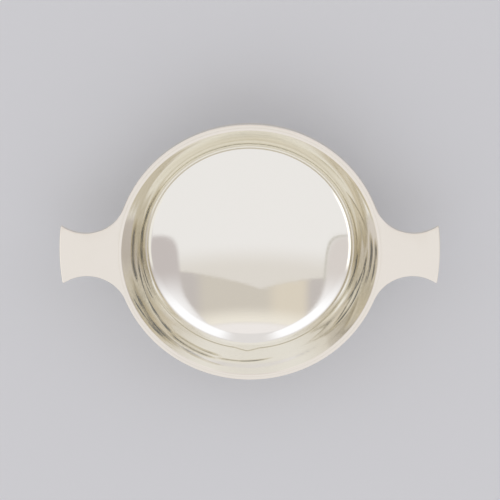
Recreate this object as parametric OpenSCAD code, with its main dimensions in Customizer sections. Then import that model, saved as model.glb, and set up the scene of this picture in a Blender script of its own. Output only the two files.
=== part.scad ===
// Quaich: a shallow two-handled drinking bowl of raised and soldered silver.
// Millimetres. It stands on its foot at z = 0, with its axis on Z and its lugs along X.

/* [Bowl] */
// Inside diameter of the mouth
mouth_d = 121.4; // [112:0.2:132]
// Thickness of the bowl's sheet
bowl_t = 1; // [0.7:0.1:1.4]
// Inside radius of the rounded bottom
bottom_r = 100; // [92:1:108]
// Slope at which the bottom runs into the haunch, in degrees
bottom_angle = 27.5; // [25:0.5:30]
// Inside radius of the haunch between the well and the wall
haunch_r = 12.4; // [9:0.2:16]
// Turn of the haunch, in degrees
haunch_turn = 25; // [22:0.5:27]
// Turn of the wall on its way up to the lip, in degrees
wall_turn = 5.5; // [4:0.5:8]

/* [Rim wire] */
// Width of the wire's flat top, outside the lip
rim_wire_w = 1.65; // [1.2:0.05:2.4]
// Rounding of the wire's lower outer edge
rim_wire_round = 0.6; // [0.3:0.05:0.9]

/* [Lugs] */
// Reach of a lug, from the rim to the middle of its end
lug_reach = 26.4; // [23:0.2:32]
// Distance from the rim to the narrowest place of a lug
lug_neck_at = 13.7; // [12:0.1:15]
// Width of a lug at its narrowest place
lug_neck_w = 21.3; // [18:0.1:25]
// Thickness of a lug
lug_t = 2.2; // [1.6:0.1:3]
// Radius of the curve of a lug's end
lug_end_r = 108; // [70:1:160]
// Width of the bevel along a lug's end
lug_bevel_w = 2.4; // [1.5:0.1:3.5]
// Drop of that bevel at the very end
lug_bevel_drop = 0.5; // [0.2:0.05:0.9]
// Length trimmed off the feather edge at each side of a lug's root
lug_root_trim = 2.6; // [1.5:0.1:4]

/* [Foot] */
// Clear height under the middle of the bowl
foot_lift = 5; // [4.5:0.1:9]
// Outside diameter of the collet where it meets the bowl
throat_d = 54; // [48:0.5:58]
// Outside diameter of the collet where it meets the foot wire
collet_base_d = 60; // [59:0.5:66]
// Thickness of the collet's strip
collet_t = 1; // [0.7:0.1:1.4]
// Height of the foot wire
foot_wire_h = 1.6; // [1.3:0.1:2.4]
// Reach of the foot wire outside the collet
foot_wire_lip = 1.6; // [1:0.1:2.4]
// Rounding of the foot wire's outer edges
foot_wire_round = 0.6; // [0.3:0.05:0.8]

/* [Solder] */
// Leg of the solder seams
solder_leg = 0.8; // [0.5:0.05:1]

/* [Hidden] */

$fn = 180;
// Turn of one step along the bowl's profile, in degrees
arc_step = 1.25;

bowl_silver = [0.90, 0.88, 0.82];
wire_silver = [0.88, 0.86, 0.80];
solder_silver = [0.80, 0.77, 0.68];

// Direction from an arc's centre to its point of the given slope, in the radius and height plane
function down(slope) = [sin(slope), -cos(slope)];

// Width of a circle of radius r at the given height above or below its centre
function half_chord(r, height) = sqrt(r * r - height * height);

// The bowl's inside: bottom, haunch and wall are arcs, each tangent to the next
haunch_from = bottom_angle;
wall_from = haunch_from + haunch_turn;
lip_angle = wall_from + wall_turn;

bottom_c = [0, foot_lift + bowl_t + bottom_r];
haunch_c = bottom_c + (bottom_r - haunch_r) * down(haunch_from);
wall_foot = haunch_c + haunch_r * down(wall_from);
wall_r = (mouth_d / 2 - wall_foot.x) / (sin(lip_angle) - sin(wall_from));
wall_c = wall_foot - wall_r * down(wall_from);

// The lip is filed flat at the height where the inside reaches the mouth's diameter
rim_z = wall_c.y - wall_r * cos(lip_angle);
function wall_outside(z) = wall_c.x + half_chord(wall_r + bowl_t, wall_c.y - z);
rim_r = wall_outside(rim_z) + rim_wire_w;

// The wire is deep enough for a lug's edge, the seam under it and its own rounding
rim_wire_h = lug_t + solder_leg + rim_wire_round;
rim_wire_z = rim_z - rim_wire_h;

// A lug's sides are round files' cuts that run tangent into the rim
lug_under_z = rim_z - lug_t;
neck_x = rim_r + lug_neck_at;
neck_y = lug_neck_w / 2;
side_r = (neck_x * neck_x + neck_y * neck_y - rim_r * rim_r) / (2 * (rim_r - neck_y));
side_y = neck_y + side_r;
root_y = rim_r * side_y / (rim_r + side_r) - lug_root_trim;
end_x = rim_r + lug_reach;
end_c = [end_x - lug_end_r, 0];

// The collet leaves the bowl upright and flares to its base along one arc. Its curvature is none
// where the base is as wide as the throat, and its inside bends about the same centre
throat_r = throat_d / 2;
throat_z = bottom_c.y - half_chord(bottom_r + bowl_t, throat_r);
flare_out = collet_base_d / 2 - throat_r;
flare_h = throat_z - foot_wire_h;
flare_bend = 2 * flare_out / (flare_h * flare_h + flare_out * flare_out);
flare_bend_in = flare_bend / (1 + flare_bend * collet_t);
// Steps along each face of the collet
flare_steps = 24;

// How far an upright arc of the given curvature has leaned out at a depth below its start
function lean(bend, depth) =
    bend * depth * depth / (1 + sqrt(1 - bend * bend * depth * depth));

// A face of the collet, from the throat down to the foot wire
function collet_face(r, bend) =
    [for (i = [0:flare_steps])
        let (depth = flare_h * i / flare_steps)
        [r + lean(bend, depth), throat_z - depth]];

collet_outside = collet_face(throat_r, flare_bend);
collet_inside = collet_face(throat_r - collet_t, flare_bend_in);
collet_in = collet_inside[flare_steps].x;

// Most that a wire's edge is rounded, as a share of the wire's height
most_round = 0.45;

// The foot wire has a ledge inside the collet for the seam
ledge_spare = 0.2;
foot_wire_in = collet_in - solder_leg - ledge_spare;
foot_wire_out = collet_base_d / 2 + foot_wire_lip;

// A disc in the profile plane
module disc(centre, r) {
    translate(centre) circle(r);
}

// Points along an arc from one slope to another, one for each step of the turn
function arc(centre, r, from, to) =
    let (steps = ceil((to - from) / arc_step))
    [for (i = [0:steps]) centre + r * down(from + (to - from) * i / steps)];

function without_first(points) = [for (i = [1:len(points) - 1]) points[i]];

// A face of the bowl's sheet, from the axis to the lip, at a distance out from the inside
function sheet_face(out, lip) = concat(
    arc(bottom_c, bottom_r + out, 0, haunch_from),
    without_first(arc(haunch_c, haunch_r + out, haunch_from, wall_from)),
    without_first(arc(wall_c, wall_r + out, wall_from, lip)));

// All that lies within one face of the sheet, up to the rim's plane
module within(face) {
    polygon(concat(face, [[0, rim_z]]));
}

module within_bowl() {
    within(sheet_face(bowl_t, acos((wall_c.y - rim_z) / (wall_r + bowl_t))));
}

module bowl_profile() {
    difference() {
        within_bowl();
        within(sheet_face(0, lip_angle));
    }
}

// A flat ring's section with its outer edges rounded, the upper one only if asked
module wire_profile(inner, outer, low, high, rounding, round_top) {
    edge = min(rounding, most_round * (high - low));
    top_edge = round_top ? edge : 0;
    translate([inner, low]) square([outer - edge - inner, high - low]);
    translate([inner, low + edge]) square([outer - inner, high - low - edge - top_edge]);
    disc([outer - edge, low + edge], edge);
    if (round_top) disc([outer - edge, high - edge], edge);
}

module bowl() {
    color(bowl_silver) rotate_extrude() bowl_profile();
}

module rim_wire() {
    color(wire_silver)
    rotate_extrude()
    difference() {
        wire_profile(mouth_d / 2 - rim_wire_h, rim_r, rim_wire_z, rim_z, rim_wire_round, false);
        within_bowl();
    }
}

// The seam fills the corner between the wire's underside and the bowl's wall
module rim_solder() {
    corner = [wall_outside(rim_wire_z), rim_wire_z];
    foot_z = rim_wire_z - solder_leg;
    color(solder_silver)
    rotate_extrude()
    difference() {
        polygon([corner - [solder_leg, 0], corner + [solder_leg, 0],
                 [wall_outside(foot_z), foot_z], [wall_outside(foot_z) - solder_leg, foot_z]]);
        within_bowl();
    }
}

// Plan of the lug on the +X side
module lug_plan() {
    difference() {
        intersection() {
            translate([0, -root_y]) square([end_x, 2 * root_y]);
            disc(end_c, lug_end_r);
        }
        disc([0, 0], rim_r);
        for (side = [-1, 1]) disc([neck_x, side * side_y], side_r);
    }
}

module lug() {
    color(wire_silver)
    difference() {
        translate([0, 0, lug_under_z]) linear_extrude(lug_t) lug_plan();
        translate([end_c.x, 0, rim_z])
        rotate_extrude()
        polygon([[lug_end_r - lug_bevel_w, 0], [lug_end_r, -lug_bevel_drop],
                 [lug_end_r + lug_bevel_w, -lug_bevel_drop], [lug_end_r + lug_bevel_w, lug_t],
                 [lug_end_r - lug_bevel_w, lug_t]]);
    }
}

// The seam fills the corner between a lug's underside and the rim wire
module lug_solder() {
    color(solder_silver)
    intersection() {
        rotate_extrude()
        polygon([[rim_r, lug_under_z], [rim_r + solder_leg, lug_under_z],
                 [rim_r, lug_under_z - solder_leg]]);
        translate([0, 0, lug_under_z - solder_leg]) linear_extrude(solder_leg) lug_plan();
    }
}

// A half turn puts a lug and its seam on the -X side
module on_left() {
    rotate([0, 0, 180]) children();
}

module right_lug() {
    lug();
}

module left_lug() {
    on_left() lug();
}

module right_lug_solder() {
    lug_solder();
}

module left_lug_solder() {
    on_left() lug_solder();
}

// All that lies within one face of the collet, from the foot wire up into the bowl's sheet
module within_collet(face) {
    sheet_z = throat_z + bowl_t;
    polygon(concat([[0, sheet_z], [face[0].x, sheet_z]], face, [[0, foot_wire_h]]));
}

module foot_collet() {
    color(wire_silver)
    rotate_extrude()
    difference() {
        within_collet(collet_outside);
        within_collet(collet_inside);
        within_bowl();
    }
}

// The seam fills the corner outside the collet, under the bowl
module foot_solder() {
    color(solder_silver)
    rotate_extrude()
    difference() {
        polygon([[throat_r, throat_z - solder_leg], [throat_r + solder_leg, throat_z],
                 [throat_r + solder_leg, throat_z + solder_leg], [throat_r - collet_t, throat_z],
                 [throat_r - collet_t, throat_z - solder_leg]]);
        within_collet(collet_outside);
        within_bowl();
    }
}

module foot_wire() {
    color(wire_silver)
    rotate_extrude()
    wire_profile(foot_wire_in, foot_wire_out, 0, foot_wire_h, foot_wire_round, true);
}

// The seam fills the corner inside the collet, on the foot wire's ledge
module foot_wire_solder() {
    color(solder_silver)
    rotate_extrude()
    intersection() {
        polygon([[collet_in - solder_leg, foot_wire_h], [collet_in + collet_t, foot_wire_h],
                 [collet_in + collet_t, foot_wire_h + solder_leg],
                 [collet_in - solder_leg, foot_wire_h + solder_leg]]);
        within_collet(collet_inside);
    }
}

bowl();
rim_wire();
rim_solder();
left_lug();
right_lug();
left_lug_solder();
right_lug_solder();
foot_collet();
foot_solder();
foot_wire();
foot_wire_solder();
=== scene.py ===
import math

import bpy
import numpy as np
from mathutils import Matrix, Vector


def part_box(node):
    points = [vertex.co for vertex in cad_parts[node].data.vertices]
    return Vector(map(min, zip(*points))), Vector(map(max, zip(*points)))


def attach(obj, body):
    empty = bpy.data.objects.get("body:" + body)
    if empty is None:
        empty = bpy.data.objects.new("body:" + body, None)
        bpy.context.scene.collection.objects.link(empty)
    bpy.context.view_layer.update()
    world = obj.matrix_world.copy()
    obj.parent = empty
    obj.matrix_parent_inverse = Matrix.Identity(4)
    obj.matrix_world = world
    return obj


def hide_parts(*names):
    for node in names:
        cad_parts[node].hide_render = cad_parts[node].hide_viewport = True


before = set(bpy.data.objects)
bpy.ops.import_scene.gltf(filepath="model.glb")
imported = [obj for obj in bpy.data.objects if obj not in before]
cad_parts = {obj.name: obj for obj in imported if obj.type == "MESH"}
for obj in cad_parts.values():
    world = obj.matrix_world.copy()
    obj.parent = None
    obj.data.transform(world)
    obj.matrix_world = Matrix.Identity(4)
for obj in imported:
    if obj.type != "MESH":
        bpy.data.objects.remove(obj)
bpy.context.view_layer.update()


# The bowl
# Raised from one disc of silver sheet: a rounded well, a tight haunch, and a steep wall up to a lip that
# is filed flat. Rings and creases left by the hammer show in the wall, with painted dark streaks along the
# creases that stand for reflections, and a line is chased round its foot.
MM = 0.001
sheet = 1.0 * MM
bowl_low, bowl_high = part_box("bowl")
rim_z = bowl_high.z
mouth_r = 60.7 * MM
# Arcs of the inside, from the middle outwards: radius, and the slope in degrees at which it ends
well_arc = (100 * MM, 27.5)
haunch_arc = (12.4 * MM, 52.5)
lip_slope = math.radians(58)
lip_round = 0.5 * MM
# Points along each arc, inside and outside, and round the bowl
fine_steps = (48, 40, 240)
plain_steps = (30, 14, 24)
lip_steps = 8
turn_steps = 360


def down(slope):
    """Direction in the radius and height plane from an arc's centre to its point of that slope."""
    return np.array([np.sin(slope), -np.cos(slope)])


def sheet_arcs():
    """The arcs of the bowl's inside as rows of centre, radius, slope at the start and slope at the end."""
    rows = []
    slope = 0.0
    centre = np.array([0.0, bowl_low.z + sheet + well_arc[0]])
    for radius, end in (well_arc, haunch_arc):
        if rows:
            centre = centre + (rows[-1][1] - radius) * down(slope)
        rows.append((centre, radius, slope, math.radians(end)))
        slope = math.radians(end)
    wall_foot = centre + radius * down(slope)
    wall_r = (mouth_r - wall_foot[0]) / (math.sin(lip_slope) - math.sin(slope))
    rows.append((wall_foot - wall_r * down(slope), wall_r, slope, lip_slope))
    return rows


def sheet_face(out, last_slope, steps):
    """Points along one face of the sheet and their slopes, from the axis to the lip."""
    points, slopes = [], []
    for (centre, radius, start, end), count in zip(sheet_arcs(), steps):
        end = last_slope if end == lip_slope else end
        turn = np.linspace(start, end, count + 1)[1 if points else 0:]
        points += [centre + (radius + out) * down(a) for a in turn]
        slopes += list(turn)
    return np.array(points), np.array(slopes)


def smooth(x):
    """A soft step from 0 to 1."""
    x = np.clip(x, 0, 1)
    return x * x * (3 - 2 * x)


def mesh_piece(name, points, faces, marks, hard_edge=35):
    """A smooth-shaded mesh object with hard edges where its faces turn by more than hard_edge degrees.
    marks gives values at its points: how much the silver is darkened there, by tarnish and, along the bowl's
    creases, by painted reflection streaks, and filed, how far the file has gone over it."""
    mesh = bpy.data.meshes.new(name)
    mesh.from_pydata(points, [], faces)
    mesh.validate()
    mesh.shade_smooth()
    mesh.set_sharp_from_angle(angle=math.radians(hard_edge))
    for mark, values in marks.items():
        attribute = mesh.attributes.new(mark, "FLOAT", "POINT")
        attribute.data.foreach_set("value", np.clip(values, 0, 1).astype(np.float32))
    piece = bpy.data.objects.new(name, mesh)
    bpy.context.scene.collection.objects.link(piece)
    return piece


def spun(name, r, z, marks, closed=True):
    """A piece turned about Z from a profile that runs with the metal on its right. r, z and each of the marks
    have a row for each point of the profile and a column for each step of the turn."""
    rows, columns = r.shape
    angle = np.arange(columns) * (2 * math.pi / columns)
    points = np.stack([r * np.cos(angle), r * np.sin(angle), z], axis=-1)
    index = np.arange(rows * columns).reshape(rows, columns)
    if not closed:
        # The ends of an open profile lie on the axis, where a row is a single point
        index[0], index[-1] = index[0, 0], index[-1, 0]
    faces = []
    for i in range(rows if closed else rows - 1):
        here, there = index[i], index[(i + 1) % rows]
        for j in range(columns):
            k = (j + 1) % columns
            corners = (here[j], there[j], there[k], here[k])
            faces.append(tuple(int(c) for n, c in enumerate(corners) if c != corners[n - 1]))
    used = np.unique(index)
    renumber = np.zeros(rows * columns, int)
    renumber[used] = np.arange(len(used))
    faces = [tuple(int(renumber[c]) for c in face) for face in faces]
    marks = {mark: values.reshape(-1)[used] for mark, values in marks.items()}
    return mesh_piece(name, points.reshape(-1, 3)[used].tolist(), faces, marks)


# Hammer rings: distance from one to the next up the wall, height, phase, turns of the sway, sway
hammer_rings = (
    (5.4 * MM, 0.007 * MM, 0.6, 1, 1.0),
    (3.3 * MM, 0.002 * MM, 2.1, 2, 1.2),
    (8.6 * MM, 0.018 * MM, 4.2, 3, 0.6),
)
ring_fade = 2.0 * MM
# The hammer leaves the wall a little straighter than its arc
wall_fill = 0.16 * MM
# Creases from the hammer's edge, where its rounds met on two sides, each with a painted dark streak along it
# that stands for a reflection of the dark surroundings: the angles in degrees at which one starts and ends,
# its distance up the wall at both, its half width, and how dark its painted streak is
creases_and_streaks = (
    (136, 204, 1.6 * MM, 3.2 * MM, 1.40 * MM, 1.00),
    (158, 208, 8.8 * MM, 10.6 * MM, 1.60 * MM, 1.00),
    (174, 220, 4.0 * MM, 9.6 * MM, 0.80 * MM, 1.00),
    (182, 212, 2.6 * MM, 4.2 * MM, 0.60 * MM, 0.90),
    (184, 214, 14.8 * MM, 15.2 * MM, 1.50 * MM, 0.56),
    (184, 242, 12.4 * MM, 14.8 * MM, 1.50 * MM, 0.90),
    (188, 214, 4.4 * MM, 5.6 * MM, 0.60 * MM, 0.90),
    (194, 236, 16.8 * MM, 15.0 * MM, 1.00 * MM, 1.00),
    (194, 240, 7.0 * MM, 11.3 * MM, 1.00 * MM, 1.00),
    (198, 234, 1.2 * MM, 1.6 * MM, 1.50 * MM, 0.48),
    (220, 258, 11.0 * MM, 11.6 * MM, 0.90 * MM, 0.85),
    (222, 262, 9.0 * MM, 9.8 * MM, 0.80 * MM, 0.70),
    (230, 262, 14.2 * MM, 14.6 * MM, 0.80 * MM, 0.45),
    (248, 286, 11.4 * MM, 9.2 * MM, 0.65 * MM, 0.75),
    (304, 366, 10.6 * MM, 8.6 * MM, 0.80 * MM, 1.00),
    (306, 344, 1.8 * MM, 2.4 * MM, 1.60 * MM, 0.55),
    (312, 352, 9.4 * MM, 5.0 * MM, 0.70 * MM, 1.00),
    (316, 344, 16.2 * MM, 9.6 * MM, 1.20 * MM, 0.60),
    (322, 367, 5.2 * MM, 10.4 * MM, 0.90 * MM, 1.00),
    (326, 364, 3.0 * MM, 2.6 * MM, 1.20 * MM, 1.00),
    (336, 374, 12.0 * MM, 13.4 * MM, 1.50 * MM, 1.00),
    (340, 371, 15.8 * MM, 16.2 * MM, 1.20 * MM, 0.95),
    (352, 394, 2.4 * MM, 0.2 * MM, 0.70 * MM, 0.75),
    (367, 395, 11.4 * MM, 5.0 * MM, 0.55 * MM, 0.90),
)
# Its depth is a share of its half width
depth_share = 0.02
# A crease sways a little round the bowl, and fades over a third of its length at each end
crease_sway = 0.2 * MM
sways = 5
fade_share = 1 / 3
# Its painted streak is a bundle of fine lines, which wander and break along it
fine_line = 1.1 * MM
fine_share = 0.3
fine_wander = 2.6
wanders = 7
break_share = 0.25
breaks = 19
break_wander = 2.0
break_lean = 1.4
# The wall is tinted straw in patches, by the lugs and towards -Y: the angle in degrees of each patch's
# middle, its strength, and how tight it is
tint_patches = (
    (0, 0.06, 8),
    (180, 0.17, 8),
    (206, 0.40, 26),
    (270, 0.14, 6),
    (343, 0.40, 24),
)
# The chased line: its mean distance up the wall and how far it runs off centre, its half width and depth,
# and a kink where the punch slipped
line_up = 1.75 * MM
line_off = 1.3 * MM
line_half = 0.36 * MM
line_dark = 0.55
line_depth = 0.008 * MM
kink_angle = math.radians(-91.5)
kink_half = 5.7 * MM
kink_rise = 1.5 * MM

turn = np.arange(turn_steps) * (2 * math.pi / turn_steps)
inside, inside_slope = sheet_face(0, lip_slope, fine_steps)
tangent = lip_round * math.tan(lip_slope / 2)
lip_start = np.array([mouth_r, rim_z]) - tangent * np.array([math.cos(lip_slope), math.sin(lip_slope)])
# The inside stops just short of the lip's rounding
kept = inside[:, 1] < lip_start[1] - 0.1 * tangent
inside, inside_slope = inside[kept], inside_slope[kept]
lip_centre = np.array([mouth_r + tangent, rim_z - lip_round])
lip_turn = np.linspace(math.pi / 2 + lip_slope, math.pi / 2, lip_steps + 1)
lip = [lip_centre + lip_round * np.array([math.cos(a), math.sin(a)]) for a in lip_turn]
wall_centre, wall_r = sheet_arcs()[-1][:2]
outer_lip_slope = math.acos((wall_centre[1] - rim_z) / (wall_r + sheet))
outside, _ = sheet_face(sheet, outer_lip_slope, plain_steps)
profile = np.concatenate([inside, lip, outside[::-1]])

# Distance up the wall from its foot, along the inside
step_length = np.hypot(*np.diff(inside, axis=0).T)
along = np.concatenate([[0], np.cumsum(step_length)])
foot_row = fine_steps[0] + fine_steps[1]
up_wall = (along - along[foot_row])[:, None]
wave = np.zeros((len(inside), turn_steps))
for spacing, height, phase, turns, sway in hammer_rings:
    wave += height * np.cos(2 * math.pi * up_wall / spacing + phase + sway * np.sin(turns * turn + phase))
wave *= smooth(up_wall / ring_fade) * smooth((up_wall[-1] - up_wall) / ring_fade)
wave += wall_fill * np.sin(math.pi * np.clip(up_wall / up_wall[-1], 0, 1))
crease_push = np.zeros_like(wave)
# Painted dark streaks along the creases, standing for reflections of the dark surroundings
painted_streak = np.zeros_like(wave)
for start, end, start_up, end_up, half, streak_dark in creases_and_streaks:
    part = ((np.degrees(turn) - start) % 360) / (end - start)
    swaying = np.sin(sways * turn + start)
    crease_at = start_up + (end_up - start_up) * part + crease_sway * swaying
    ends = smooth(part / fade_share) * smooth((1 - part) / fade_share)
    groove = ends * np.exp(-((up_wall - crease_at) / half) ** 2)
    crease_push -= depth_share * half * groove
    wandering = fine_wander * np.sin(wanders * turn + start)
    fine = np.sin(2 * math.pi * (up_wall - crease_at) / fine_line + wandering)
    broken = np.sin(breaks * turn + break_wander * swaying + break_lean * up_wall / fine_line)
    kept_dark = (1 - fine_share * (0.5 + 0.5 * fine)) * (1 - break_share * (0.5 + 0.5 * broken))
    painted_streak = np.maximum(painted_streak, streak_dark * groove * kept_dark)
off_kink = abs((turn - kink_angle + math.pi) % (2 * math.pi) - math.pi) * inside[foot_row, 0]
line_at = line_up - line_off * np.sin(turn) + kink_rise * np.clip(1 - off_kink / kink_half, 0, 1)
line = np.exp(-((up_wall - line_at) / line_half) ** 2)
push = wave + crease_push - line_depth * line
wall_tint = np.zeros_like(wave)
for middle, strength, tight in tint_patches:
    wall_tint += strength * np.clip(np.cos(turn - math.radians(middle)), 0, 1) ** tight
wall_tint *= smooth(up_wall / line_up)

bowl_r = np.repeat(profile[:, :1], turn_steps, axis=1)
bowl_z = np.repeat(profile[:, 1:], turn_steps, axis=1)
bowl_r[:len(inside)] -= np.sin(inside_slope)[:, None] * push
bowl_z[:len(inside)] += np.cos(inside_slope)[:, None] * push
bowl_marks = {"darkening": np.zeros_like(bowl_r), "filed": np.zeros_like(bowl_r)}
# What darkens the bowl: the straw tint, the tarnish in the chased line, and the painted reflection streaks
# along the creases
bowl_marks["darkening"][:len(inside)] = np.maximum(wall_tint, np.maximum(line_dark * line, painted_streak))
bowl_marks["filed"][len(inside):len(inside) + len(lip) + 1] = 1
bowl = spun("bowl_sheet", bowl_r, bowl_z, bowl_marks, closed=False)


def put(tree, kind, inputs=(), **settings):
    """Adds a node to a tree, with its settings, and with each input set to a value or linked to a socket."""
    node = tree.nodes.new("ShaderNode" + kind)
    for key, value in settings.items():
        setattr(node, key, value)
    for key, value in dict(inputs).items():
        if isinstance(value, bpy.types.NodeSocket):
            tree.links.new(value, node.inputs[key])
        else:
            node.inputs[key].default_value = value
    return node


def effect(name, inputs, outputs):
    """An empty node group for a finish, and its input and output sockets."""
    tree = bpy.data.node_groups.new(name, "ShaderNodeTree")
    for label, value in inputs.items():
        kind = "NodeSocketColor" if isinstance(value, tuple) else "NodeSocketFloat"
        tree.interface.new_socket(label, in_out="INPUT", socket_type=kind).default_value = value
    for label in outputs:
        kind = "NodeSocketColor" if label == "Color" else "NodeSocketFloat"
        tree.interface.new_socket(label, in_out="OUTPUT", socket_type=kind)
    return tree, tree.nodes.new("NodeGroupInput").outputs, tree.nodes.new("NodeGroupOutput").inputs


def sums(tree, operation, *values):
    """The result of a sum of sockets or numbers."""
    return put(tree, "Math", dict(enumerate(values)), operation=operation).outputs[0]


def fit(tree, value, low, high, to_low, to_high):
    """A value moved from one range to another with a soft step."""
    ends = {0: value, 1: low, 2: high, 3: to_low, 4: to_high}
    return put(tree, "MapRange", ends, interpolation_type="SMOOTHSTEP").outputs[0]


def polish_marks():
    """Hairlines in three directions from the polishing cloth, and the softer bloom that it leaves."""
    tree, given, made = effect("polish_marks", {"Gloss": 0.03, "Bloom": 0.03}, ("Height", "Roughness"))
    where = put(tree, "TexCoord").outputs["Object"]
    height = 0.0
    for degrees in (12, 71, 133):
        spin = put(tree, "Mapping", {"Vector": where, "Rotation": (0.3, 0.2, math.radians(degrees)),
                                     "Scale": (70, 2600, 2600)})
        lines = put(tree, "TexNoise", {"Vector": spin.outputs[0], "Scale": 1.0, "Detail": 1.0})
        height = sums(tree, "ADD", fit(tree, lines.outputs[0], 0.62, 0.74, 0.0, 1.0), height)
    bloom = put(tree, "TexNoise", {"Vector": where, "Scale": 38.0, "Detail": 3.0}).outputs[0]
    bloom = sums(tree, "MULTIPLY", fit(tree, bloom, 0.35, 0.75, 0.0, 1.0), given["Bloom"])
    rough = sums(tree, "ADD", given["Gloss"], bloom)
    rough = sums(tree, "ADD", rough, sums(tree, "MULTIPLY", height, 0.02))
    tree.links.new(height, made["Height"])
    tree.links.new(rough, made["Roughness"])
    return tree


def hammer_marks():
    """The faint low waves that planishing leaves in a hand-made surface."""
    tree, given, made = effect("hammer_marks", {"Size": 90.0}, ("Height",))
    where = put(tree, "TexCoord").outputs["Object"]
    dents = put(tree, "TexNoise", {"Vector": where, "Scale": given["Size"], "Detail": 0.5})
    tree.links.new(dents.outputs[0], made["Height"])
    return tree


bright_silver = (0.953, 0.938, 0.88, 1)
filed_silver = (0.915, 0.868, 0.785, 1)
straw_silver = (0.735, 0.685, 0.545, 1)
dull_silver = (0.42, 0.36, 0.27, 1)
# How much rougher silver is where it is wholly dull
dull_rough = 0.35


def tarnish_and_streaks():
    """Bright silver, warmer where it is filed, that tarnishes first to straw and then to grey or brown in
    crevices and in an uneven film. On the bowl it also paints dark streaks along the creases, which are
    painted reflections."""
    colours = {"Bright": bright_silver, "Filed": filed_silver, "Straw": straw_silver, "Dull": dull_silver}
    amounts = {"Film": 0.05, "Darken": 0.5}
    tree, given, made = effect("tarnish_and_streaks", colours | amounts, ("Color", "Dullness"))
    where = put(tree, "TexCoord").outputs["Object"]
    darkening_value = put(tree, "Attribute", attribute_name="darkening").outputs["Fac"]
    filed = put(tree, "Attribute", attribute_name="filed").outputs["Fac"]
    cloud = put(tree, "TexNoise", {"Vector": where, "Scale": 70.0, "Detail": 4.0}).outputs[0]
    cloud = fit(tree, cloud, 0.4, 0.75, 0.0, 1.0)
    film = sums(tree, "MULTIPLY", cloud, given["Film"])
    speck = put(tree, "TexNoise", {"Vector": where, "Scale": 900.0}).outputs[0]
    speck = fit(tree, speck, 0.3, 0.6, 0.86, 1.0)
    dark_part = sums(tree, "MULTIPLY", sums(tree, "MULTIPLY", darkening_value, speck), given["Darken"])
    dull = sums(tree, "MINIMUM", sums(tree, "ADD", film, dark_part), 1.0)
    clean = put(tree, "Mix", {"Factor": filed, "A": given["Bright"], "B": given["Filed"]}, data_type="RGBA")
    early = fit(tree, dull, 0.0, 0.45, 0.0, 1.0)
    late = fit(tree, dull, 0.35, 0.78, 0.0, 1.0)
    straw = put(tree, "Mix", {"Factor": early, "A": clean.outputs["Result"], "B": given["Straw"]},
                data_type="RGBA")
    colour = put(tree, "Mix", {"Factor": late, "A": straw.outputs["Result"], "B": given["Dull"]},
                 data_type="RGBA")
    tree.links.new(colour.outputs["Result"], made["Color"])
    tree.links.new(dull, made["Dullness"])
    return tree


finish_groups = {"polish": polish_marks(), "hammer": hammer_marks(), "tarnish_and_streaks": tarnish_and_streaks()}


def silver(name, bright=bright_silver, dull=dull_silver, gloss=0.03, bloom=0.03, film=0.05, crevices_and_streaks=0.5,
           hammer_size=90.0, hammer_height=0.0, scratch_height=0.0015 * MM):
    """Polished silver with hairlines, hammer marks, and tarnish and painted reflection streaks of its own
    strength.
    """
    material = bpy.data.materials.new(name)
    material.use_nodes = True
    tree = material.node_tree
    shader = tree.nodes["Principled BSDF"]
    polish = put(tree, "Group", node_tree=finish_groups["polish"])
    polish.inputs["Gloss"].default_value = gloss
    polish.inputs["Bloom"].default_value = bloom
    hammer = put(tree, "Group", node_tree=finish_groups["hammer"])
    hammer.inputs["Size"].default_value = hammer_size
    dulled = put(tree, "Group", node_tree=finish_groups["tarnish_and_streaks"])
    dulled.inputs["Bright"].default_value = bright
    dulled.inputs["Dull"].default_value = dull
    dulled.inputs["Film"].default_value = film
    dulled.inputs["Darken"].default_value = crevices_and_streaks
    waves = put(tree, "Bump", {"Height": hammer.outputs[0], "Distance": hammer_height})
    lines = put(tree, "Bump", {"Height": polish.outputs["Height"], "Distance": -scratch_height,
                               "Normal": waves.outputs[0]})
    rough = sums(tree, "MULTIPLY_ADD", dulled.outputs["Dullness"], dull_rough, polish.outputs["Roughness"])
    shader.inputs["Metallic"].default_value = 1
    tree.links.new(dulled.outputs["Color"], shader.inputs["Base Color"])
    tree.links.new(rough, shader.inputs["Roughness"])
    tree.links.new(lines.outputs[0], shader.inputs["Normal"])
    return material


def dress(piece, material, node):
    """Gives a piece its finish and puts it in its CAD node's place."""
    piece.data.materials.append(material)
    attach(piece, "root")
    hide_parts(node)


# A dark grey for the bowl's tarnish and for the painted reflection streaks along its creases
streak_and_tarnish_grey = (0.235, 0.238, 0.228, 1)
bowl_silver = silver("bowl_silver", dull=streak_and_tarnish_grey, crevices_and_streaks=1.0, film=0.02, hammer_size=60.0,
                     hammer_height=0.01 * MM)
dress(bowl, bowl_silver, "bowl")


# The rim wire
# A flat silver wire bent to a hoop, soldered round the outside of the lip and filed flush with it.
# Its top outer edge is eased with a file, and runs on into the edges of the lugs.
rim_low, rim_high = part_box("rim_wire")
rim_r = min(rim_high.x, rim_high.y)
rim_edge = 0.45 * MM
rim_under = 0.6 * MM
rim_joint = 0.18 * MM
# The wire lies against the wall up to here
joint_low = rim_z - 1.0 * MM
against_steps = 4
# Tarnish in the joint at the top, and how far it reaches out from the wall underneath
joint_dark = 0.35
under_reach = 0.6 * MM
edge_steps = 7
hold = 0.04 * MM


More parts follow.
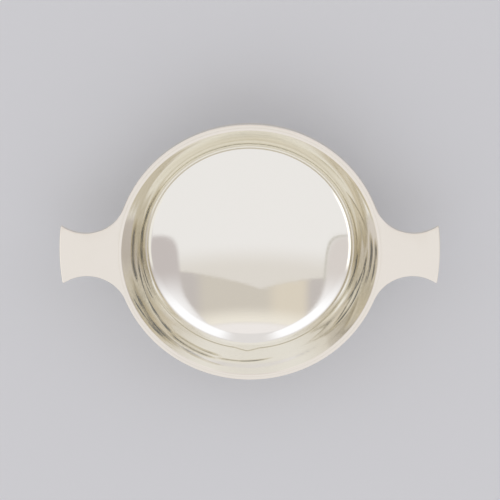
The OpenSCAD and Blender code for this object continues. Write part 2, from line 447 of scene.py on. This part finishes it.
def rounded(corners):
    """A closed profile from corners of radius, height and rounding. A point is held close by each rounding,
    so that the flats beside it stay flat."""
    points = []
    count = len(corners)
    for i, (r, z, rounding) in enumerate(corners):
        corner = np.array([r, z])
        if rounding == 0:
            points.append(corner)
            continue
        back = np.array(corners[i - 1][:2]) - corner
        ahead = np.array(corners[(i + 1) % count][:2]) - corner
        back, ahead = back / np.hypot(*back), ahead / np.hypot(*ahead)
        half = math.acos(np.dot(back, ahead)) / 2
        reach = rounding / math.tan(half)
        middle = (back + ahead) / np.hypot(*(back + ahead))
        centre = corner + middle * rounding / math.sin(half)
        first = corner + back * reach - centre
        last = corner + ahead * reach - centre
        sweep = math.pi - 2 * half
        points.append(corner + back * (reach + hold))
        for t in np.linspace(0, 1, edge_steps):
            arc = first * math.sin((1 - t) * sweep) + last * math.sin(t * sweep)
            points.append(centre + arc / math.sin(sweep))
        points.append(corner + ahead * (reach + hold))
    return np.array(points)


def turned(name, points, darkening):
    """A ring turned from a closed profile, with a crevice value at each point of the profile."""
    r = np.repeat(points[:, :1], turn_steps, axis=1)
    z = np.repeat(points[:, 1:], turn_steps, axis=1)
    return spun(name, r, z, {"darkening": np.repeat(np.array(darkening)[:, None], turn_steps, axis=1)})


def wall_outside(z):
    """Radius of the bowl's outside at a height on the wall."""
    return wall_centre[0] + math.sqrt((wall_r + sheet) ** 2 - (wall_centre[1] - z) ** 2)


against_wall = [(wall_outside(z), z, 0) for z in np.linspace(rim_low.z, joint_low, against_steps + 1)]
rim_corners = [
    (wall_outside(rim_z), rim_z, rim_joint),
    (rim_r, rim_z, rim_edge),
    (rim_r, rim_low.z, rim_under),
]
rim_profile = rounded(against_wall + rim_corners)
under = np.exp(-(rim_profile[:, 0] - wall_outside(rim_low.z)) / under_reach)
under *= rim_profile[:, 1] < joint_low
joint = np.exp(-np.hypot(*(rim_profile - rim_corners[0][:2]).T) / rim_joint)
rim_wire = turned("rim_hoop", rim_profile, np.maximum(under, joint_dark * joint))
rim_silver = silver("rim_silver", bright=filed_silver, hammer_height=0.004 * MM)
dress(rim_wire, rim_silver, "rim_wire")


# The seam under the rim wire
# Hard silver solder, run into the corner between the wire's underside and the bowl's wall.
# It is a little yellower than the silver, and the polishing wheel doesn't reach all of it.
seam_leg = 0.8 * MM
seam_dark = 0.8
seam_steps = 6
seam_wall_steps = 3
solder_silver = (0.84, 0.80, 0.69, 1)


def seam_curve(first, corner, last):
    """The hollow face of a seam from one leg's end to the other's."""
    first, corner, last = map(np.array, (first, corner, last))
    centre = first + last - corner
    t = np.linspace(0, math.pi / 2, seam_steps + 1)[:, None]
    return centre + (first - centre) * np.cos(t) + (last - centre) * np.sin(t)


rim_corner = (wall_outside(rim_low.z), rim_low.z)
seam_heights = np.linspace(rim_low.z - seam_leg, rim_low.z, seam_wall_steps + 1)
seam_wall = [(wall_outside(z), z) for z in seam_heights]
rim_seam_face = seam_curve((rim_corner[0] + seam_leg, rim_low.z), rim_corner, seam_wall[0])
rim_seam_profile = np.concatenate([seam_wall, rim_seam_face[:-1]])
rim_seam = turned("rim_seam", rim_seam_profile, np.full(len(rim_seam_profile), seam_dark))
solder = silver("hard_solder", bright=solder_silver, gloss=0.14, bloom=0.10, film=0.15, crevices_and_streaks=0.45)
dress(rim_seam, solder, "rim_solder")


# The lugs
# Two flat plates sawn from thick silver sheet and filed to a waist, soldered to the rim wire with their
# tops flush. Their edges are eased, and a narrow bevel runs along each end.
lug_low, lug_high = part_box("right_lug")
neck_x = rim_r + 13.7 * MM
neck_y = 10.65 * MM
end_r = 108 * MM
end_centre = Vector((lug_high.x - end_r, 0))
side_r = (neck_x ** 2 + neck_y ** 2 - rim_r ** 2) / (2 * (rim_r - neck_y))
side_centre = Vector((neck_x, neck_y + side_r))
root_angle = math.atan2(side_centre.y, side_centre.x)
bevel_w = 2.4 * MM
bevel_drop = 0.5 * MM
corner_r = 0.6 * MM
lug_edge = rim_edge
lug_under_edge = 0.3 * MM
# The bevel's fold is shallow, and stays crisp
fold_degrees = 9
# Points along the parts of a lug's outline
end_steps = 14
corner_steps = 5
bevel_steps = 5
side_steps = 30
root_steps = 20


def meeting(a, a_r, b, b_r):
    """The outer crossing of two circles."""
    apart = b - a
    distance = apart.length
    along = (a_r ** 2 - b_r ** 2 + distance ** 2) / (2 * distance)
    aside = math.sqrt(a_r ** 2 - along ** 2)
    across = Vector((apart.y, -apart.x)) / distance
    return a + apart * (along / distance) + across * aside


corner_centre = meeting(end_centre, end_r - corner_r, side_centre, side_r + corner_r)


def bearing(start, goal):
    """Angle of the direction from one point of the plan to another."""
    return math.atan2(goal.y - start.y, goal.x - start.x)


def plan_arc(centre, radius, start, end, steps):
    """Points along an arc of the plan, without its first."""
    angles = np.linspace(start, end, steps + 1)[1:]
    return [centre + radius * Vector((math.cos(a), math.sin(a))) for a in angles]


def lug_ring(inset):
    """Outline of the +Y half of a lug, drawn in by inset, from the middle of its end to the middle of its
    root, and the place in it of the bevel's start."""
    bevel_start = meeting(end_centre, end_r - bevel_w, side_centre, side_r + inset)
    to_corner = bearing(end_centre, corner_centre)
    corner_side = bearing(corner_centre, side_centre)
    side_corner = bearing(side_centre, corner_centre)
    side_bevel = bearing(side_centre, bevel_start)
    side_tip = root_angle - math.pi
    points = [Vector((lug_high.x - inset, 0))]
    points += plan_arc(end_centre, end_r - inset, 0, to_corner, end_steps)
    points += plan_arc(corner_centre, corner_r - inset, to_corner, corner_side, corner_steps)
    points += plan_arc(side_centre, side_r + inset, side_corner, side_bevel, bevel_steps)
    bevel_at = len(points) - 1
    points += plan_arc(side_centre, side_r + inset, side_bevel, side_tip, side_steps)
    points += plan_arc(Vector((0, 0)), rim_r - inset, root_angle, 0, root_steps)
    return points, bevel_at


def lug_top(point):
    """Height of a lug's top at a point of the plan: flat, and falling along the bevel."""
    out = (point - end_centre).length - (end_r - bevel_w)
    return rim_z - bevel_drop * min(max(out / bevel_w, 0), 1)


def lug_piece(name, side):
    """One lug, on the +X side for side 1 and on the -X side for side -1."""
    rows = []
    for t in np.linspace(0, math.pi / 2, edge_steps):
        rows.append((lug_edge * (1 - math.sin(t)), lug_edge * (1 - math.cos(t)), None))
    for t in np.linspace(0, math.pi / 2, edge_steps):
        rows.append((lug_under_edge * (1 - math.cos(t)), None, lug_under_edge * (1 - math.sin(t))))
    points = []
    for inset, drop, lift in rows:
        half, bevel_at = lug_ring(inset)
        ring = half + [Vector((p.x, -p.y)) for p in half[-2:0:-1]]
        for p in ring:
            points.append((p.x, p.y, lug_top(p) - drop if lift is None else lug_low.z + lift))
    count = len(ring)
    faces = []
    for row in range(len(rows) - 1):
        for i in range(count):
            k = (i + 1) % count
            faces.append((row * count + i, (row + 1) * count + i, (row + 1) * count + k, row * count + k))
    # The bevel is a strip between the outline and the line where it starts
    outer = [i % count for i in range(-bevel_at, bevel_at + 1)]
    spread = bearing(end_centre, Vector(points[bevel_at][:2]))
    inner = [outer[0]]
    for a in np.linspace(-spread, spread, len(outer))[1:-1]:
        inner.append(len(points))
        p = end_centre + (end_r - bevel_w) * Vector((math.cos(a), math.sin(a)))
        points.append((p.x, p.y, rim_z))
    inner.append(outer[-1])
    for i in range(len(outer) - 1):
        strip = (outer[i], outer[i + 1], inner[i + 1], inner[i])
        faces.append(tuple(c for n, c in enumerate(strip) if c != strip[n - 1]))
    faces.append(tuple(range(bevel_at, count - bevel_at + 1)) + tuple(inner[1:-1]))
    last = (len(rows) - 1) * count
    faces.append(tuple(range(last + count - 1, last - 1, -1)))
    points = [(side * x, side * y, z) for x, y, z in points]
    return mesh_piece(name, points, faces, {}, hard_edge=fold_degrees)


lug_silver = silver("lug_silver", bright=filed_silver, hammer_size=45.0, hammer_height=0.006 * MM)
for side, word in ((-1, "left"), (1, "right")):
    dress(lug_piece(word + "_lug_plate", side), lug_silver, word + "_lug")


# The seams under the lugs
# A fillet of hard silver solder in the corner between each lug's underside and the rim wire.
# It is run in along the root, and thins out to the root's tips.
lug_seam_steps = 48
# At a tip the leg takes up this share of the room, and never less than a trace
room_share = 0.9
least_leg = 0.02 * MM


def lug_seam(name, side):
    """The fillet under one lug's root, against the rim wire."""
    points, faces = [], []
    reach = side_centre.length
    for a in np.linspace(-root_angle, root_angle, lug_seam_steps + 1):
        away = root_angle - abs(a)
        leg = seam_leg
        if reach * math.sin(away) < side_r:
            # Near the tips of the root the lug's side leaves less room than a whole leg
            room = reach * math.cos(away) - math.sqrt(side_r ** 2 - (reach * math.sin(away)) ** 2) - rim_r
            leg = min(seam_leg, least_leg + room_share * room)
        face = seam_curve((rim_r + leg, lug_low.z), (rim_r, lug_low.z), (rim_r, lug_low.z - leg))
        for r, z in [(rim_r, lug_low.z), *face]:
            points.append((side * r * math.cos(a), side * r * math.sin(a), z))
    count = seam_steps + 2
    for row in range(lug_seam_steps):
        for i in range(count):
            k = (i + 1) % count
            faces.append((row * count + i, row * count + k, (row + 1) * count + k, (row + 1) * count + i))
    faces.append(tuple(range(count - 1, -1, -1)))
    faces.append(tuple(range(lug_seam_steps * count, (lug_seam_steps + 1) * count)))
    return mesh_piece(name, points, faces, {"darkening": np.full(len(points), seam_dark)})


for side, word in ((-1, "left"), (1, "right")):
    dress(lug_seam(word + "_lug_seam", side), solder, word + "_lug_solder")


# The foot collet
# A strip of silver bent to a ring, soldered end to end and stretched to a flare over a stake.
# It stands on the foot wire and carries the bowl on its upper edge.
collet_low, collet_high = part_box("foot_collet")
collet_t = 1.0 * MM
throat_r = 27.0 * MM
base_r = collet_high.x
collet_steps = 24
# Tarnish at the throat and at the base, and how far it reaches
throat_dark = 0.7
throat_reach = 0.9 * MM
base_dark = 0.5
base_reach = 0.7 * MM


def bowl_under(r):
    """Height of the bowl's outside at a radius near the foot."""
    return bowl_low.z + well_arc[0] + sheet - math.sqrt((well_arc[0] + sheet) ** 2 - r ** 2)


throat_z = bowl_under(throat_r)
flare_h = throat_z - collet_low.z
flare_out = base_r - throat_r
flare_r = (flare_h ** 2 + flare_out ** 2) / (2 * flare_out)


def base_angle(thickness):
    """Angle down the flare at which a face of the collet meets the foot wire."""
    return math.asin(flare_h / (flare_r + thickness))


def collet_point(thickness, angle):
    """A point on a face of the collet, at an angle down the flare."""
    radius = flare_r + thickness
    return throat_r + flare_r - radius * math.cos(angle), throat_z - radius * math.sin(angle)


def collet_face(thickness):
    """One face of the collet, from the throat down to the foot wire."""
    angles = np.linspace(0, base_angle(thickness), collet_steps + 1)
    return [collet_point(thickness, a) for a in angles]


collet_inside = [(r, min(z, bowl_under(r))) for r, z in collet_face(collet_t)]
collet_profile = np.array(collet_inside[::-1] + collet_face(0))
collet_crevice = throat_dark * np.exp(-(throat_z - collet_profile[:, 1]) / throat_reach)
collet_crevice += base_dark * np.exp(-(collet_profile[:, 1] - collet_low.z) / base_reach)
foot_collet = turned("foot_flare", collet_profile, collet_crevice)
foot_silver = silver("foot_silver", gloss=0.045, bloom=0.05, film=0.10, crevices_and_streaks=0.6,
                     hammer_height=0.008 * MM)
dress(foot_collet, foot_silver, "foot_collet")


# The seam round the throat
# Hard silver solder in the corner between the collet's outside and the underside of the bowl.
# It is run all the way round, and holds the bowl on its foot.
seam_side_steps = 4
throat_angles = np.linspace(0, seam_leg / flare_r, seam_side_steps + 1)
throat_side = [collet_point(0, a) for a in throat_angles]
roof_radii = np.linspace(throat_r, throat_r + seam_leg, seam_side_steps + 1)
throat_roof = [(r, bowl_under(r)) for r in roof_radii]
throat_face = seam_curve(throat_roof[-1], (throat_r, throat_z), throat_side[-1])
throat_profile = np.array(throat_side[::-1] + throat_roof[1:] + list(throat_face[1:-1]))
foot_seam = turned("throat_seam", throat_profile, np.full(len(throat_profile), seam_dark))
dress(foot_seam, solder, "foot_solder")


# The foot wire
# A flat hoop of silver wire, soldered under the collet, which the bowl stands on.
# Its outer edges are rounded, and it has the softer polish of the foot.
wire_low, wire_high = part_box("foot_wire")
wire_in = 27.66 * MM
wire_edge = 0.6 * MM
wire_inner_edge = 0.2 * MM
# Tarnish on its top along the collet's base, how far it reaches, and how deep the top counts
wire_dark = 0.6
wire_reach = 0.5 * MM
top_depth = 0.1 * MM
wire_profile = rounded([
    (wire_in, wire_low.z, wire_inner_edge),
    (wire_in, wire_high.z, wire_inner_edge),
    (wire_high.x, wire_high.z, wire_edge),
    (wire_high.x, wire_low.z, wire_edge),
])
wire_top = wire_profile[:, 1] > wire_high.z - top_depth
wire_crevice = wire_dark * np.exp(-abs(wire_profile[:, 0] - base_r) / wire_reach) * wire_top
foot_wire = turned("foot_hoop", wire_profile, wire_crevice)
dress(foot_wire, foot_silver, "foot_wire")


# The seam inside the foot
# Hard silver solder on the foot wire's ledge, in the corner under the collet's lean.
# It is run in from the inside, where it is out of sight when the bowl stands.
ledge_corner = collet_point(collet_t, base_angle(collet_t))
ledge_end = (ledge_corner[0] - seam_leg, ledge_corner[1])
ledge_drops = np.linspace(0, seam_leg / (flare_r + collet_t), seam_side_steps + 1)
ledge_side = [collet_point(collet_t, base_angle(collet_t) - a) for a in ledge_drops]
ledge_face = seam_curve(ledge_side[-1], ledge_corner, ledge_end)
ledge_profile = np.array([ledge_end] + list(ledge_face[::-1][1:]) + ledge_side[::-1][1:])
ledge_seam = turned("ledge_seam", ledge_profile, np.full(len(ledge_profile), seam_dark))
dress(ledge_seam, solder, "foot_wire_solder")


# Floor, light and camera
# A plain pale floor, a soft white tent of light with two brighter side cloths and a dimmer gap where the
# camera looks in, and the camera over the bowl.
floor_half = 4.0
floor_mesh = bpy.data.meshes.new("floor")
floor_mesh.from_pydata([(-floor_half, -floor_half, 0), (floor_half, -floor_half, 0),
                        (floor_half, floor_half, 0), (-floor_half, floor_half, 0)], [], [(0, 1, 2, 3)])
floor = bpy.data.objects.new("floor", floor_mesh)
bpy.context.scene.collection.objects.link(floor)
paper = bpy.data.materials.new("pale_paper")
paper.use_nodes = True
paper_shader = paper.node_tree.nodes["Principled BSDF"]
paper_shader.inputs["Base Color"].default_value = (0.72, 0.73, 0.75, 1)
paper_shader.inputs["Roughness"].default_value = 0.9
floor_mesh.materials.append(paper)

tent = bpy.data.worlds.new("tent")
bpy.context.scene.world = tent
tent.use_nodes = True
sky = tent.node_tree
sky.nodes.clear()
direction = put(sky, "SeparateXYZ", {0: put(sky, "TexCoord").outputs["Generated"]}).outputs
across, back, up = direction["X"], direction["Y"], direction["Z"]
aside = sums(sky, "ABSOLUTE", across)
swing = sums(sky, "ARCTAN2", back, aside)
# The gap and the side cloths are each a little off centre, and the gap's edge bends forward at its ends
gap_off = 0.1
gap_bend = 0.30
cloths_off = 0.024
off_gap = sums(sky, "ABSOLUTE", sums(sky, "ADD", across, gap_off))
off_cloths = sums(sky, "ABSOLUTE", sums(sky, "ADD", across, cloths_off))
gap_edge = sums(sky, "MULTIPLY_ADD", off_gap, gap_bend, back)


def rise(value, low, high):
    """A mask that comes in between two values."""
    return fit(sky, value, low, high, 0.0, 1.0)


def fall(value, low, high):
    """A mask that goes out between two values."""
    return fit(sky, value, low, high, 1.0, 0.0)


def both(*masks):
    """Where all of some masks are in."""
    total = masks[0]
    for mask in masks[1:]:
        total = sums(sky, "MULTIPLY", total, mask)
    return total


def lesser(a, b, blend):
    """The lesser of two values, with a round turn from one to the other."""
    return sums(sky, "SMOOTH_MIN", a, b, blend)


right = rise(across, -0.1, 0.1)
left = fall(across, -0.1, 0.1)
gap = both(rise(gap_edge, 0.17, 0.20), fall(back, 0.46, 0.50))
# The side cloths start beyond an edge that runs straight down the front and then turns in to the back.
# It is crisp high up and soft low down
turning_in = sums(sky, "MULTIPLY_ADD", back, -0.9, 0.824)
cloth_edge = lesser(0.626, turning_in, 0.25)
past_edge = lesser(sums(sky, "SUBTRACT", off_cloths, cloth_edge), sums(sky, "ADD", back, 0.37), 0.22)
softness = fit(sky, up, 0.38, 0.50, 0.20, 0.02)
inner_soft = sums(sky, "MULTIPLY", softness, -1.0)
cloth = both(rise(past_edge, inner_soft, softness), fall(swing, 1.10, 1.42))
bright_cloth = both(cloth, rise(swing, -0.1, 0.55), fall(up, 0.70, 0.85), rise(up, 0.17, 0.27))
hem = both(rise(past_edge, -0.022, -0.012), fall(past_edge, -0.008, 0.006), fall(back, 0.0, 0.12))
low_band = both(rise(up, 0.16, 0.24), fall(up, 0.32, 0.42), rise(aside, 0.6, 0.7), fall(back, -0.15, 0.0))
light = (0.86, 0.85, 0.87, 1)
tent_parts = (
    # The tent dims towards the back
    (rise(back, -0.26, 0.0), (0.75, 0.72, 0.70, 1)),
    # The gap, dim and a little warm, with darker ends, one lighter place and a lighter back edge
    (gap, (0.63, 0.59, 0.545, 1)),
    (both(gap, rise(aside, 0.38, 0.52)), (0.56, 0.525, 0.525, 1)),
    (both(gap, fall(across, -0.28, -0.12), rise(across, -0.56, -0.46)), (0.72, 0.66, 0.58, 1)),
    (both(gap, rise(back, 0.32, 0.48)), (0.88, 0.84, 0.78, 1)),
    # The roof behind the gap, with a dimmer strip
    (rise(back, 0.46, 0.50), (0.88, 0.85, 0.87, 1)),
    (both(rise(back, 0.58, 0.66), fall(aside, 0.3, 0.4)), (0.77, 0.75, 0.77, 1)),
    # The side cloths, dim in front and bright at the back, the left one with a dim hem
    (both(cloth, right), (0.57, 0.53, 0.54, 1)),
    (both(cloth, left), (0.70, 0.66, 0.66, 1)),
    (both(cloth, rise(swing, -0.1, 0.55)), (0.80, 0.78, 0.80, 1)),
    (bright_cloth, (1.06, 1.07, 1.14, 1)),
    (both(hem, left), (0.60, 0.58, 0.55, 1)),
    # Low strips of light on both sides
    (both(low_band, right), (0.88, 0.86, 0.83, 1)),
    (both(low_band, left), (1.35, 1.33, 1.30, 1)),
    # The dark openings low at the sides
    (both(fall(up, 0.05, 0.13), rise(aside, 0.45, 0.70), rise(back, -0.55, -0.35)), (0.13, 0.12, 0.12, 1)),
)
for mask, shade in tent_parts:
    mixed = put(sky, "Mix", {"Factor": mask, "B": shade}, data_type="RGBA")
    if isinstance(light, tuple):
        mixed.inputs["A"].default_value = light
    else:
        sky.links.new(light, mixed.inputs["A"])
    light = mixed.outputs["Result"]
glow = put(sky, "Background", {"Color": light})
sky.links.new(glow.outputs[0], put(sky, "OutputWorld").inputs[0])

# The view is tilted from straight down, with +Y at the top of the picture
picture_px = 500
px_per_rim = 134.55
distance_in_rims = 13.44
tilt = math.radians(18.33)
aside_in_rims = (0.0018, 0.039)
camera_data = bpy.data.cameras.new("camera")
camera_data.sensor_width = 36
camera_data.lens = px_per_rim * distance_in_rims / picture_px * camera_data.sensor_width
camera = bpy.data.objects.new("camera", camera_data)
bpy.context.scene.collection.objects.link(camera)
turn_back = Matrix.Rotation(-tilt, 4, "X")
offset = Vector((aside_in_rims[0], aside_in_rims[1], distance_in_rims)) * rim_r
camera.matrix_world = Matrix.Translation((0, 0, rim_z)) @ turn_back @ Matrix.Translation(offset)
bpy.context.scene.camera = camera
bpy.context.scene.view_settings.view_transform = "Standard"
